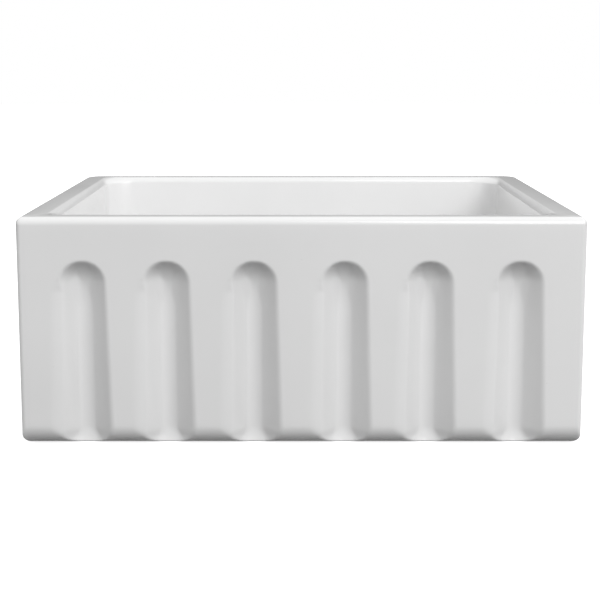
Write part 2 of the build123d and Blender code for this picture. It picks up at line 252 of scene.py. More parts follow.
def ring(half_x, half_y, corner, height, end_height=None, behind=None):
    """Points once round a rounded rectangle. Its ends may lie at their own height, and its corners
    behind may have their own radius."""
    end_height = height if end_height is None else end_height
    behind = corner if behind is None else behind
    scale = (half_x - corner) / straight
    points = [Vector((x * scale, -half_y, height)) for x in front_stations()]

    def turn(side, radius, centre_y, start, from_long):
        centre_x = (half_x - radius) * side
        for share in sweep(0, 1, CORNER_STEPS, 1)[:-1]:
            angle = radians(start + 90 * share)
            blend = smooth(share if from_long else 1 - share)
            points.append(Vector((centre_x + radius * cos(angle), centre_y + radius * sin(angle),
                                  mix(height, end_height, blend))))

    def along_end(side):
        start, end = corner - half_y, half_y - behind
        ends = (start, end) if side > 0 else (end, start)
        points.extend(Vector((half_x * side, y, end_height)) for y in sweep(*ends, END_STEPS))

    turn(1, corner, corner - half_y, -90, True)
    along_end(1)
    turn(1, behind, half_y - behind, 0, False)
    run = half_x - behind
    points += [Vector((x, half_y, height)) for x in sweep(run, -run, BACK_STEPS)]
    turn(-1, behind, half_y - behind, 90, True)
    along_end(-1)
    turn(-1, corner, corner - half_y, 180, False)
    return points


def between(start, end, share):
    """The ring that lies this share of the way from one ring to another."""
    return [a.lerp(b, share) for a, b in zip(start, end)]


def round_ring(radius, height, like):
    """A circle whose points lie in the same directions as those of another ring."""
    points = []
    for point in like:
        angle = atan2(point.y, point.x)
        points.append(Vector((radius * cos(angle), radius * sin(angle), height)))
    return points


print("points in a ring:", len(ring(half_width, half_depth, front_corner, 0.0)))

# %% [markdown]
# **The flutes.** Each one has a hollow floor between two sloping flanks, an arch at the head where
# the same profile turns round, a ramp that rises into that arch, and a toe where the floor turns
# outward and spreads. So one profile and one path make the whole flute. The deeper of apron and
# flute wins, and a soft maximum in place of a hard one wears the arris round, as glaze does.

# %% Flute profile and path
flute_nose, arch_nose, toe_nose = 8.3, 13.0, 13.0    # half width of the floor: run, crown, foot
nose_sag = 2.0                    # depth of the floor's hollow
flank_blend, toe_blend, head_blend = 0.7, 2.5, 8.0    # floor to flank: run, foot, head
flute_head_drop, flute_head_half, flute_foot_half = 47.5, 24.4, 29.0
flute_head_depth, flute_foot_depth, flute_toe_depth = 20.0, 20.7, 16.6
flute_head_z = rim_z - flute_head_drop - flute_head_half
flute_toe_z = 18.0                # height at which the floor turns outward
toe_power, toe_spread = 1.8, 1.2         # how fast the floor turns outward, and how soon it widens
ramp_foot_z = flute_head_z - 30.0        # the ramp climbs from here to the crown of the arch
ramp_length = flute_head_z + flute_head_half - ramp_foot_z
ramp_power, ramp_blend = 4.4, 1.6        # how it steepens, and how softly it meets the flanks
arris_blend = 2.8                 # a soft maximum this wide looks like a 6 mm round
facet_slope, facet_reach, facet_blend = 0.42, 4.4, 0.5    # hand-smoothed strip along the left arris
facet_top, facet_fade = 4.0, 14.0        # its end above the arch's centre, and the stretch it fades over
tiny = 0.001                      # keeps a divisor above zero


def soft_max(a, b, width):
    """The larger of two values, rounded where they differ by less than a width."""
    overlap = max(width - abs(a - b), 0.0) / width
    return max(a, b) + overlap * overlap * width / 4


def toe_share(z):
    """0 along the run, and growing to 1 at the base."""
    return min(max((flute_toe_z - z) / flute_toe_z, 0.0), 1.0)


def run_share(z):
    """0 in the head, and growing to 1 where the toe starts."""
    return min(max((flute_head_z - z) / (flute_head_z - flute_toe_z), 0.0), 1.0)


def half_opening(z):
    """Half the flute's width where its flanks meet the apron's face."""
    return mix(flute_head_half, flute_foot_half, run_share(z))


def run_depth(z):
    """Depth of the flute's floor along the run."""
    return mix(flute_head_depth, flute_foot_depth, run_share(z))


def path_depth(z):
    """Depth of the flute's floor at a height, without its ramp."""
    return mix(run_depth(z), flute_toe_depth, toe_share(z) ** toe_power)


def ramp_depth(z):
    """Depth of the ramp, which reaches the apron's face at the crown."""
    return run_depth(z) * (1 - max((z - ramp_foot_z) / ramp_length, 0.0) ** ramp_power)


def climb_share(z):
    """0 below the ramp, and 1 from the middle of the arch upwards."""
    return smooth((z - ramp_foot_z) / (flute_head_z - ramp_foot_z))


def profile_rise(away, z, upward):
    """How far the profile has risen from its floor at a distance from the flute's middle. upward
    is 0 along the run and grows to 1 at the crown, where the flank is steeper."""
    spread = smooth(toe_spread * toe_share(z))
    nose = mix(mix(flute_nose, toe_nose, spread), arch_nose, upward)
    slope = (run_depth(z) - nose_sag) / (half_opening(z) - mix(flute_nose, arch_nose, upward))
    blend = mix(mix(flank_blend, toe_blend, spread), head_blend, climb_share(z))
    return soft_max(nose_sag * min(away / nose, 1.0) ** 2, nose_sag + slope * (away - nose), blend)


def flute_depth(x, z):
    """How far the nearest flute's surface lies behind the apron's face."""
    middle = min(flute_middles, key=lambda m: abs(m - x))
    above = max(z - flute_head_z, 0.0)
    away = max(hypot(x - middle, above), tiny)
    flute = path_depth(z) - profile_rise(away, z, (above / away) ** 2)
    if z > ramp_foot_z:
        flute = -soft_max(-flute, -ramp_depth(z), max(ramp_blend * climb_share(z), tiny))
    if x > middle:
        return flute
    reach = facet_reach * smooth((flute_head_z + facet_top - z) / facet_fade)
    strip = facet_slope * (half_opening(z) + reach - (middle - x))
    return soft_max(flute, strip, facet_blend) if reach else flute


def fluted(half_x, half_y, corner, height, end_height, behind):
    """An outside ring whose front run is carved by the flutes."""
    points = ring(half_x, half_y, corner, height, end_height, behind)
    inset = half_depth - half_y
    for point in points[:len(front_stations())]:
        point.y = soft_max(inset, flute_depth(point.x, height), arris_blend) - half_depth
    return points


# %% [markdown]
# **From drain to rim.** Floor, floor round, drafted wall, and then the mouth. Front and back roll
# over in a quarter circle, while both sides open into a shallow hollowed ledge with a worn inner
# arris, so the two edges of one ring follow different curves.

# %% Bowl rings
bowl_half_x, bowl_half_y = half_width - 35.0, half_depth - 30.0
bowl_draft = tan(radians(1.6))
bowl_floor_z = 28.0
floor_round, mouth_roll = 32.0, 7.5
wall_top = rim_z - mouth_roll
corner_floor, corner_top = 42.0, 36.0
ledge_width, ledge_arris, ledge_corner, ledge_curve = 8.0, 1.2, 8.0, 1.8
waste_r, recess_r, recess_z, recess_edge = 45.0, 58.6, 20.5, 1.2
recess_radii = (waste_r, 50.0, 55.0, recess_r)       # circles on the recess's flat
dish_r, dish_drop = 150.0, 3.5
dish_z = bowl_floor_z - dish_drop
dish_ease = 0.3                          # 0 is a straight fall to the drain, and 1 one with soft ends
floor_shares = (0.35, 0.7)               # rings between the dish and the floor's round
EDGE_STEPS, DISH_STEPS, FLOOR_STEPS, WALL_STEPS, MOUTH_STEPS = 5, 10, 12, 10, 18


def bowl_wall(z):
    """Half sizes and corner radius of the drafted wall at a height."""
    inset = bowl_draft * (wall_top - z)
    corner = mix(corner_floor, corner_top, (z - bowl_floor_z) / (wall_top - bowl_floor_z))
    return bowl_half_x - inset, bowl_half_y - inset, corner


def mouth_half_x(drop):
    """Half the mouth's length at a depth below the rim: the ledge, then its arris."""
    lean = atan(ledge_curve * mouth_roll / 2 / ledge_width)
    ledge_drop = mouth_roll - ledge_arris * cos(lean)
    inner = bowl_half_x + ledge_arris * (1 - sin(lean))
    if drop <= ledge_drop:
        return mix(bowl_half_x + ledge_width, inner, (drop / ledge_drop) ** (1 / ledge_curve))
    turn = acos(max(-1.0, cos(lean) - (drop - ledge_drop) / ledge_arris))
    return bowl_half_x + ledge_arris * (1 - sin(turn))


def bowl_rings():
    """Rings from the recess round the drain up to the rim."""
    lean = atan(bowl_draft)
    reach = floor_round * tan((pi / 2 - lean) / 2)
    wall_x, wall_y, _ = bowl_wall(bowl_floor_z)
    flat = ring(wall_x - reach, wall_y - reach, corner_floor - reach, bowl_floor_z)
    rings = [round_ring(radius, recess_z, flat) for radius in recess_radii]
    for turn in sweep(0, pi / 2, EDGE_STEPS):
        rings.append(round_ring(recess_r + recess_edge * (1 - cos(turn)),
                                dish_z - recess_edge * (1 - sin(turn)), flat))
    for radius in sweep(recess_r + recess_edge, dish_r, DISH_STEPS, 1):
        fall = 1 - (radius - recess_r) / (dish_r - recess_r)
        drop = dish_drop * mix(fall, smooth(fall), dish_ease)
        rings.append(round_ring(radius, bowl_floor_z - drop, flat))
    circle = rings[-1]
    rings += [between(circle, flat, share) for share in floor_shares]
    for turn in sweep(0, pi / 2 - lean, FLOOR_STEPS):
        inset = reach - floor_round * sin(turn)
        z = bowl_floor_z + floor_round * (1 - cos(turn))
        corner = mix(corner_floor - reach, bowl_wall(z)[2], sin(turn) / cos(lean))
        rings.append(ring(wall_x - inset, wall_y - inset, corner, z))
    round_top = bowl_floor_z + floor_round * (1 - sin(lean))
    for z in sweep(round_top, wall_top, WALL_STEPS, 1)[:-1]:
        rings.append(ring(*bowl_wall(z), z))
    for turn in sweep(pi / 2, 0, MOUTH_STEPS):
        drop = mouth_roll * (1 - cos(turn))
        corner = mix(ledge_corner, corner_top, sin(turn))
        half_y = bowl_half_y + mouth_roll * (1 - sin(turn))
        rings.append(ring(mouth_half_x(drop), half_y, corner, rim_z - drop))
    return rings


print("rings in the bowl:", len(bowl_rings()))

# %% [markdown]
# **From rim to foot.** The flat rim, the outer round, the apron with its flutes, the large round
# under it and the foot band. The rings lie a little over a millimetre apart around the flutes'
# heads, where the arch crosses them, and further apart along the runs.

# %% Outside rings
rim_round, rim_end_round = 8.5, 7.0
base_round, base_end_round = 24.0, 13.0
foot_band, panel_rise, panel_corner = 46.0, 4.0, 30.0
panel_radii = (95.0, 60.0, waste_r)      # circles on the hollow under the foot
above_heads, head_margin = 9.0, 4.0      # between rings above the arches, and from the last to an arch
RIM_STEPS, ABOVE_STEPS, ARCH_STEPS, RUN_STEPS, BASE_STEPS = 12, 3, 44, 20, 16


def rounded_edge(turn, long_round, end_round):
    """Sizes of the ring on an edge's round: turn is 0 on the flat and 90 degrees on the wall."""
    inward = 1 - sin(turn)
    return {"half_x": half_width - end_round * inward, "half_y": half_depth - long_round * inward,
            "corner": front_corner * sin(turn), "behind": back_corner - end_round * inward}


def outside_heights():
    """Heights of the rings down the apron, between its two rounds."""
    wall_start = rim_z - rim_round
    arch_top = flute_head_z + flute_head_half + head_margin
    heights = sweep(wall_start, wall_start - ABOVE_STEPS * above_heads, ABOVE_STEPS, 1)
    heights += sweep(arch_top, ramp_foot_z, ARCH_STEPS)
    return heights + sweep(ramp_foot_z, base_round, RUN_STEPS, 1)[:-1]


def outside_rings():
    """Rings from the rim down the apron to the base."""
    rings = []
    for turn in sweep(0, pi / 2, RIM_STEPS):
        rings.append(ring(height=rim_z - rim_round * (1 - cos(turn)),
                          end_height=rim_z - rim_end_round * (1 - cos(turn)),
                          **rounded_edge(turn, rim_round, rim_end_round)))
    for z in outside_heights():
        rings.append(fluted(half_width, half_depth, front_corner, z, z, back_corner))
    for turn in sweep(pi / 2, 0, BASE_STEPS):
        rings.append(fluted(height=base_round * (1 - cos(turn)),
                            end_height=base_end_round * (1 - cos(turn)),
                            **rounded_edge(turn, base_round, base_end_round)))
    return rings


def underside_rings(like):
    """The foot band, the hollow inside it and the waste hole up to the recess."""
    foot = ring(half_width - base_end_round, half_depth - base_round, 0.0, 0.0)
    band_edge = ring(half_width - foot_band, half_depth - foot_band, panel_corner, 0.0)
    panel = ring(half_width - foot_band, half_depth - foot_band, panel_corner, panel_rise)
    circles = [round_ring(radius, panel_rise, like) for radius in panel_radii]
    return [between(foot, band_edge, 0.5), band_edge, panel, between(panel, circles[0], 0.5), *circles,
            round_ring(waste_r, mix(panel_rise, recess_z, 0.5), like)]


# %% [markdown]
# **One skin.** Quads join each ring to the next, and the last ring to the first through the waste
# hole, so the casting is closed. Points that fall together are merged. Glaze covers all but the
# foot, the hollow under it and the waste hole with its recess, where the fired clay stays bare.

# %% Join the rings into one skin
merge_mm = 0.002                         # points closer than this become one
glaze_stop_r = recess_r - 2.0            # the glaze ends here on the recess's flat
glaze_stop_z = panel_rise + 1.0          # and at this height under the foot
casting_crease = 40                      # edges sharper than this many degrees stay edges


def as_object(name, mesh, materials=()):
    """Turns a mesh that has been built up into an object of the scene."""
    data = bpy.data.meshes.new(name)
    mesh.to_mesh(data)
    mesh.free()
    for material in materials:
        data.materials.append(material)
    return placed(name, data)


def skin(name, rings, material_of, materials):
    """Quads between neighbouring rings, the last one joined to the first."""
    mesh = bmesh.new()
    rows = [[mesh.verts.new(point * MM) for point in points] for points in rings]
    for low, high in zip(rows, rows[1:] + rows[:1]):
        for i in range(len(low)):
            j = (i + 1) % len(low)
            mesh.faces.new((low[i], low[j], high[j], high[i]))
    bmesh.ops.remove_doubles(mesh, verts=mesh.verts, dist=merge_mm * MM)
    bmesh.ops.dissolve_degenerate(mesh, edges=mesh.edges, dist=merge_mm * MM)
    bmesh.ops.delete(mesh, geom=[edge for edge in mesh.edges if not edge.link_faces], context="EDGES")
    bmesh.ops.delete(mesh, geom=[vert for vert in mesh.verts if not vert.link_faces], context="VERTS")
    if mesh.calc_volume(signed=True) < 0:
        bmesh.ops.reverse_faces(mesh, faces=mesh.faces)
    for face in mesh.faces:
        face.smooth = True
        face.material_index = material_of(face.calc_center_median() / MM)
    return as_object(name, mesh, materials)


def is_bare(point):
    """Bare clay on the foot, on the hollow under it and in the waste hole."""
    on_foot = abs(point.x) < half_width - base_end_round and abs(point.y) < half_depth - base_round
    in_hole = hypot(point.x, point.y) < glaze_stop_r
    return int(in_hole or on_foot and point.z < glaze_stop_z)


bowl = bowl_rings()
casting = skin("casting", bowl + outside_rings() + underside_rings(bowl[0]), is_bare, [glaze, bisque])
casting.data.set_sharp_from_angle(angle=radians(casting_crease))
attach(casting, "sink")
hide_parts("sink_body")
print("casting:", len(casting.data.vertices), "points,", len(casting.data.polygons), "faces")

# %% [markdown]
# **Metals.** Three are in a sink strainer. Pressed stainless steel is spun while it is polished, so
# its finest scratches run in circles and draw a highlight out across them. Chromed brass is far
# smoother, a plain mirror that only finger marks dull. Die-cast zinc cools against a steel mould
# and comes out grey, grainy and half matt. All three keep the default IOR, as metals do.


# %% Metal materials
def spun_height(tree, place, line_mm):
    """A fine noise that changes only with the distance from the axis, as spinning leaves it."""
    axes = add(tree, "ShaderNodeSeparateXYZ", i0=place)
    flat = add(tree, "ShaderNodeCombineXYZ", X=axes.outputs[0], Y=axes.outputs[1])
    radius = add(tree, "ShaderNodeVectorMath", {"operation": "LENGTH"}, i0=flat.outputs[0])
    track = add(tree, "ShaderNodeCombineXYZ", X=radius.outputs["Value"], Y=axes.outputs[2])
    return add(tree, "ShaderNodeTexNoise", Vector=track.outputs[0], Scale=per(line_mm), Detail=3.0,
               Roughness=0.6).outputs["Fac"]


def spun_stainless():
    """Pressed 304 sheet: warm grey, its lines drawn 0.9 mm apart because real ones are too fine."""
    material, tree = new_material("stainless_steel_pressed_and_spun")
    place = add(tree, "ShaderNodeTexCoord").outputs["Object"]
    lines = spun_height(tree, place, 0.9)
    haze = add(tree, "ShaderNodeTexNoise", Vector=place, Scale=per(22.22), Detail=4.0, Roughness=0.6)
    colour = ramp(tree, haze.outputs["Fac"], 0.3, 0.7, linear("bdbbb7"), linear("cdccc9"))
    scratched = add(tree, "ShaderNodeMapRange", i0=lines, i1=0.3, i2=0.7, i3=0.17, i4=0.33)
    rough = add(tree, "ShaderNodeMath", {"operation": "MULTIPLY_ADD"}, i0=haze.outputs["Fac"],
                i1=0.10, i2=scratched.outputs[0])
    tooth = add(tree, "ShaderNodeBump", Strength=0.10, Distance=0.05 * MM, Height=lines)
    return surface(material, colour, rough.outputs[0], tooth, Metallic=1.0)


def chromed_brass():
    """Bright chrome plate: nearly a mirror, clouded here and there by fingers and limescale."""
    material, tree = new_material("brass_turned_and_chrome_plated")
    place = add(tree, "ShaderNodeTexCoord").outputs["Object"]
    marks = add(tree, "ShaderNodeTexNoise", Vector=place, Scale=per(11.11), Detail=4.0, Roughness=0.55)
    dried = add(tree, "ShaderNodeTexVoronoi", {"feature": "F1"}, Vector=place, Scale=per(3.846))
    colour = ramp(tree, marks.outputs["Fac"], 0.35, 0.7, linear("d3d5d8"), linear("dfe0e1"))
    clouds = add(tree, "ShaderNodeMapRange", {"clamp": True}, i0=marks.outputs["Fac"],
                 i1=0.45, i2=0.75, i3=0.05, i4=0.16)
    drops = add(tree, "ShaderNodeMapRange", {"clamp": True}, i0=dried.outputs["Distance"],
                i1=0.10, i2=0.22, i3=0.10, i4=0.0)
    rough = add(tree, "ShaderNodeMath", {"operation": "ADD"}, i0=clouds.outputs[0], i1=drops.outputs[0])
    wave = add(tree, "ShaderNodeBump", Strength=0.04, Distance=0.1 * MM, Height=marks.outputs["Fac"])
    return surface(material, colour, rough.outputs[0], wave, Metallic=1.0)


def cast_zinc():
    """Die-cast zinc alloy: grey, with the mould's grain and the cloudy marks of its flow."""
    material, tree = new_material("zinc_die_cast")
    place = add(tree, "ShaderNodeTexCoord").outputs["Object"]
    grain = add(tree, "ShaderNodeTexNoise", Vector=place, Scale=per(0.9091), Detail=3.0, Roughness=0.6)
    flow = add(tree, "ShaderNodeTexNoise", Vector=place, Scale=per(18.18), Detail=5.0, Roughness=0.6,
               Distortion=1.2)
    colour = ramp(tree, flow.outputs["Fac"], 0.3, 0.7, linear("85888b"), linear("a3a6a8"))
    rough = add(tree, "ShaderNodeMapRange", i0=flow.outputs["Fac"], i1=0.3, i2=0.7, i3=0.40, i4=0.56)
    tooth = add(tree, "ShaderNodeBump", Strength=0.35, Distance=0.1 * MM, Height=grain.outputs["Fac"])
    return surface(material, colour, rough.outputs[0], tooth, Metallic=1.0)


steel, chrome, zinc = spun_stainless(), chromed_brass(), cast_zinc()

# %% [markdown]
# **Seals.** Moulded rubber, plumber's putty, vulcanised fibre and nylon share one recipe: two
# colours mixed by a noise, and a second, finer noise for roughness and tooth. What tells them apart
# is the size of that grain: rubber keeps the mould's fine sandblast, putty keeps thumb marks a
# centimetre wide, fibre shows strands, and nylon hardly shows anything.


# %% Seal materials
def moulded(name, dark, light, cloud_mm, grain_mm, roughness, tooth_mm, stretch=1.0):
    """A matt material: clouds of two colours, and a grain for its roughness and bump."""
    material, tree = new_material(name)
    place = add(tree, "ShaderNodeTexCoord").outputs["Object"]
    strands = add(tree, "ShaderNodeMapping", Vector=place, Scale=(1.0, stretch, 1.0))
    clouds = add(tree, "ShaderNodeTexNoise", Vector=place, Scale=per(cloud_mm), Detail=3.0)
    grain = add(tree, "ShaderNodeTexNoise", Vector=strands.outputs[0], Scale=per(grain_mm), Detail=4.0,
                Roughness=0.65)
    blend = add(tree, "ShaderNodeMath", {"operation": "MULTIPLY_ADD"}, i0=grain.outputs["Fac"],
                i1=0.5, i2=clouds.outputs["Fac"])
    colour = ramp(tree, blend.outputs[0], 0.5, 1.0, linear(dark), linear(light))
    rough = add(tree, "ShaderNodeMapRange", i0=grain.outputs["Fac"], i1=0.3, i2=0.7,
                i3=roughness - 0.08, i4=roughness + 0.08)
    tooth = add(tree, "ShaderNodeBump", Strength=0.5, Distance=tooth_mm * MM, Height=grain.outputs["Fac"])
    return surface(material, colour, rough.outputs[0], tooth, IOR=1.5)


rubber = moulded("rubber_black_moulded", "161616", "262626", 12.0, 0.9, 0.52, 0.06)
putty = moulded("putty_white_pressed", "cfc6b2", "e3dccb", 14.0, 5.0, 0.72, 0.35)
fibre = moulded("vulcanised_fibre_grey", "8d8271", "b3a68f", 8.0, 1.2, 0.80, 0.10, stretch=6.0)
nylon = moulded("nylon_natural_moulded", "d9d6c8", "e9e6db", 9.0, 1.5, 0.36, 0.03)

# %% [markdown]
# **Turned pieces.** Almost everything in a strainer is round, so one function turns a closed
# profile about the drain's axis, and another one first rounds the profile's corners: no sheet or
# turned edge is truly sharp, and the small round is what catches the light. A third function may
# push points in by angle, which cuts a hexagon or a thread from the same turned blank.

# %% Turning helpers
SIDES = 96                               # points in a turned circle
ROUND_STEPS = 5                          # edges in a rounded corner
same_mm = 0.01                           # lengths that differ by less count as equal
bore_wall = 0.5                          # a hexagon's flats spare the metal this close to its bore


def extent(node):
    """Outer radius, lowest and highest point of a construction node, in mm."""
    low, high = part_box(node)
    return (high.x - low.x) / 2 / MM, low.z / MM, high.z / MM


def rounded(corners):
    """Points of a closed profile. Each corner is a radius, a height and how far it is rounded."""
    points = []
    for before, here, after in zip(corners[-1:] + corners[:-1], corners, corners[1:] + corners[:1]):
        spot = Vector(here[:2])
        size = here[2]
        if not size:
            points.append(spot)
            continue
        back, ahead = [(Vector(other[:2]) - spot).normalized() for other in (before, after)]
        half = back.angle(ahead) / 2
        centre = spot + (back + ahead).normalized() * size / sin(half)
        start, end = [spot + way * size / tan(half) - centre for way in (back, ahead)]
        for share in sweep(0, 1, ROUND_STEPS):
            points.append(centre + start.lerp(end, share).normalized() * size)
    return points


def refined(profile, step_mm):
    """The same profile, with its long stretches cut to about this length."""
    points = []
    for here, after in zip(profile, profile[1:] + profile[:1]):
        parts = max(1, int((after - here).length / step_mm))
        points += [here.lerp(after, part / parts) for part in range(parts)]
    return points


def turned(name, corners, material, step_mm=None, radius_at=None, turn=0.0):
    """Turns a profile about the Z axis. radius_at may change a radius by its angle and height."""
    profile = rounded(corners)
    if step_mm:
        profile = refined(profile, step_mm)
    rings = []
    for radius, z in profile:
        points = []
        for side in range(SIDES):
            angle = 2 * pi * side / SIDES
            reach = radius_at(angle, radius, z) if radius_at else radius
            points.append(Vector((reach * cos(angle + turn), reach * sin(angle + turn), z)))
        rings.append(points)
    return skin(name, rings, lambda point: 0, [material])


def hexagon(across, bore):
    """Cuts six flats on whatever is turned outside a bore."""
    def radius_at(angle, radius, z):
        flat = across / 2 / cos(angle % (pi / 3) - pi / 6)
        return min(radius, flat) if radius > bore + bore_wall else radius
    return radius_at


def thread(outer, low, high, pitch, depth):
    """Cuts a helix in the stretch of this radius that lies between two heights."""
    def radius_at(angle, radius, z):
        if abs(radius - outer) > same_mm or not low < z < high:
            return radius
        wave = abs((z / pitch - angle / (2 * pi)) % 1 * 2 - 1)
        return radius - depth * smooth(wave)
    return radius_at


def flat_ring(inner, outer, low, high, rounds):
    """Profile of a plain ring. The rounds go round it from its lower inner corner."""
    corners = ((inner, low), (outer, low), (outer, high), (inner, high))
    return [(*corner, size) for corner, size in zip(corners, rounds)]


def seat(piece, body, node, angle=32):
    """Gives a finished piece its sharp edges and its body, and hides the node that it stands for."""
    piece.data.set_sharp_from_angle(angle=radians(angle))
    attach(piece, body)
    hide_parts(node)
    print(piece.name + ":", len(piece.data.polygons), "faces")


# %% [markdown]
# **Copies round an axis.** Perforations, slots, lugs and arms repeat round the drain, so one node
# tree does them all: it places copies of a small solid at equal angles about the Z axis, and a
# boolean then joins them to the turned blank or cuts them out of it. The result is taken as a plain
# mesh, so nothing is left to evaluate when the piece is posed or exported.


# %% Node tree for copies
def copies_tree(operation):
    """Joins copies of a solid to a blank, or cuts them out of it, and gives the piece its finish."""
    tree = bpy.data.node_groups.new("copies_" + operation.lower(), "GeometryNodeTree")
    for socket, kind in (("Blank", "Geometry"), ("Copy", "Object"), ("Count", "Int"),
                         ("First angle", "Float"), ("Finish", "Material")):
        tree.interface.new_socket(socket, in_out="INPUT", socket_type="NodeSocket" + kind)
    tree.interface.new_socket("Piece", in_out="OUTPUT", socket_type="NodeSocketGeometry")
    given = add(tree, "NodeGroupInput").outputs
    step = add(tree, "ShaderNodeMath", {"operation": "DIVIDE"}, i0=2 * pi, i1=given["Count"])
    number = add(tree, "GeometryNodeInputIndex").outputs[0]
    angle = add(tree, "ShaderNodeMath", {"operation": "MULTIPLY_ADD"}, i0=number, i1=step.outputs[0],
                i2=given["First angle"])
    turn = add(tree, "ShaderNodeCombineXYZ", Z=angle.outputs[0])
    points = add(tree, "GeometryNodePoints", Count=given["Count"])
    solid = add(tree, "GeometryNodeObjectInfo", Object=given["Copy"])
    copies = add(tree, "GeometryNodeInstanceOnPoints", Points=points.outputs[0],
                 Instance=solid.outputs["Geometry"], Rotation=turn.outputs[0])
    copies = add(tree, "GeometryNodeRealizeInstances", i0=copies.outputs[0])
    cut = add(tree, "GeometryNodeMeshBoolean", {"operation": operation, "solver": "EXACT"})
    blank_side = "Mesh 1" if operation == "DIFFERENCE" else "Mesh 2"
    tree.links.new(given["Blank"], cut.inputs[blank_side])
    tree.links.new(copies.outputs[0], cut.inputs["Mesh 2"])
    whole = add(tree, "GeometryNodeRealizeInstances", i0=cut.outputs[0])
    coated = add(tree, "GeometryNodeSetMaterial", Geometry=whole.outputs[0], Material=given["Finish"])
    add(tree, "NodeGroupOutput", i0=coated.outputs[0])
    return tree


TREES = {operation: copies_tree(operation) for operation in ("UNION", "DIFFERENCE")}


def with_copies(piece, operation, copy, count, first_angle=0.0):
    """Joins copies of a solid to a piece, or cuts them out, and keeps the result as its mesh."""
    tree = TREES[operation]
    sockets = {item.name: item.identifier for item in tree.interface.items_tree if item.in_out == "INPUT"}
    modifier = piece.modifiers.new("copies", "NODES")
    modifier.node_group = tree
    modifier[sockets["Copy"]] = copy
    modifier[sockets["Count"]] = count
    modifier[sockets["First angle"]] = first_angle
    modifier[sockets["Finish"]] = piece.data.materials[0]
    piece.update_tag()
    graph = bpy.context.evaluated_depsgraph_get()
    result = bpy.data.meshes.new_from_object(piece.evaluated_get(graph))
    piece.modifiers.remove(modifier)
    piece.data = result
    bpy.data.objects.remove(copy)


def block(outline, low, high, along_x=False):
    """A straight solid with this outline: upright, or along X with the outline in Y and Z."""
    mesh = bmesh.new()
    rows = []
    for level in (low, high):
        places = [(level, a, b) if along_x else (a, b, level) for a, b in outline]
        rows.append([mesh.verts.new(Vector(place) * MM) for place in places])
    for i in range(len(outline)):
        j = (i + 1) % len(outline)
        mesh.faces.new((rows[0][i], rows[0][j], rows[1][j], rows[1][i]))
    for row in rows:
        mesh.faces.new(row)
    bmesh.ops.recalc_face_normals(mesh, faces=mesh.faces)
    for face in mesh.faces:
        face.smooth = True
    return as_object("block", mesh)


def rounded_box(middle, size, corner, steps=6):
    """Outline of a rounded rectangle; with corners of half its width it is a slot or a circle."""
    points = []
    for quarter, (side_a, side_b) in enumerate(((1, 1), (-1, 1), (-1, -1), (1, -1))):
        for angle in sweep(pi / 2 * quarter, pi / 2 * (quarter + 1), steps):
            point = (middle[0] + side_a * (size[0] / 2 - corner) + corner * cos(angle),
                     middle[1] + side_b * (size[1] / 2 - corner) + corner * sin(angle))
            if not points or dist(point, points[-1]) > same_mm:
                points.append(point)
    if dist(points[0], points[-1]) < same_mm:
        points.pop()
    return points


# %% [markdown]
# **Strainer body.** A steel disc is pressed in steps to a flange, a cup and a seat that slopes to
# the outlet, and the outlet tube is brazed on. The flange's edge is turned down so that it grips
# its putty. Both threads are really rolled, and are cut here in the same turned blank.

# %% Strainer body
flange_r, outlet_end_z, flange_top = extent("strainer_body")
flange_t, flange_fall, lip_r = 2.6, 1.4, 44.5
cup_r, cup_wall = 40.6, 2.1
cup_outer_r = cup_r + cup_wall
cup_floor_z, cup_floor_t = -21.5, 2.2
seat_r, spider_bottom, seat_z = extent("outlet_spider")
outlet_r, outlet_outer_r, thread_gap = 19.4, 23.6, 0.05
flange_z = flange_top - flange_t
lip_z = flange_top - flange_fall
strainer_corners = [
    (flange_r, flange_z, 0.2), (flange_r, flange_top, 1.2), (lip_r, lip_z, 2.0),
    (cup_r, lip_z - (lip_r - cup_r), 3.0), (cup_r, cup_floor_z, 3.0), (seat_r, seat_z, 0.3),
    (seat_r, spider_bottom, 0.0), (outlet_r, spider_bottom, 0.0), (outlet_r, outlet_end_z, 0.4),
    (outlet_outer_r, outlet_end_z, 0.4), (outlet_outer_r, seat_z - cup_floor_t, 1.0),
    (cup_outer_r, cup_floor_z - cup_floor_t, 5.0), (cup_outer_r, flange_z - (waste_r - cup_outer_r), 0.5),
    (waste_r, flange_z, 0.3)]
cup_thread = thread(cup_outer_r, low=-17.5, high=15.0, pitch=2.0, depth=0.8)
outlet_thread = thread(outlet_outer_r, low=outlet_end_z + 0.5, high=-31.0, pitch=1.8, depth=0.7)


def both_threads(angle, radius, z):
    return outlet_thread(angle, cup_thread(angle, radius, z), z)


strainer = turned("strainer_cup_and_flange", strainer_corners, steel, step_mm=0.45,
                  radius_at=both_threads)
seat(strainer, "sink", "strainer_body")

# %% [markdown]
# **Nuts under the sink.** The lock nut is a zinc ring with a flat collar and six lugs for a
# wrench. The coupling nut is hexagonal bar, turned off at its points and bored for the tailpiece.

# %% Lock nut and coupling nut
collar_r = extent("rubber_gasket")[0]
lug_reach, lock_nut_bottom, lock_nut_top = extent("lock_nut")
nut_bore_r = cup_outer_r + thread_gap
collar_t = 4.0
lug_depth, lug_root, lug_width, lug_corner, lug_drop = 13.0, 3.25, 13.0, 2.0, 0.2
lug_middle = lug_reach - lug_depth / 2
ring_r = lug_reach - lug_depth + lug_root
collar_z = lock_nut_top - collar_t
lock_nut = turned("lock_nut_ring", [
    (nut_bore_r, lock_nut_bottom, 0.6), (ring_r, lock_nut_bottom, 0.8), (ring_r, collar_z, 1.2),
    (collar_r, collar_z, 0.8), (collar_r, lock_nut_top, 0.5), (nut_bore_r, lock_nut_top, 0.5)], zinc)
lug = block(rounded_box((lug_middle, 0), (lug_depth, lug_width), lug_corner), lock_nut_bottom,
            lock_nut_top - lug_drop)
with_copies(lock_nut, "UNION", lug, 6)
seat(lock_nut, "sink", "lock_nut")

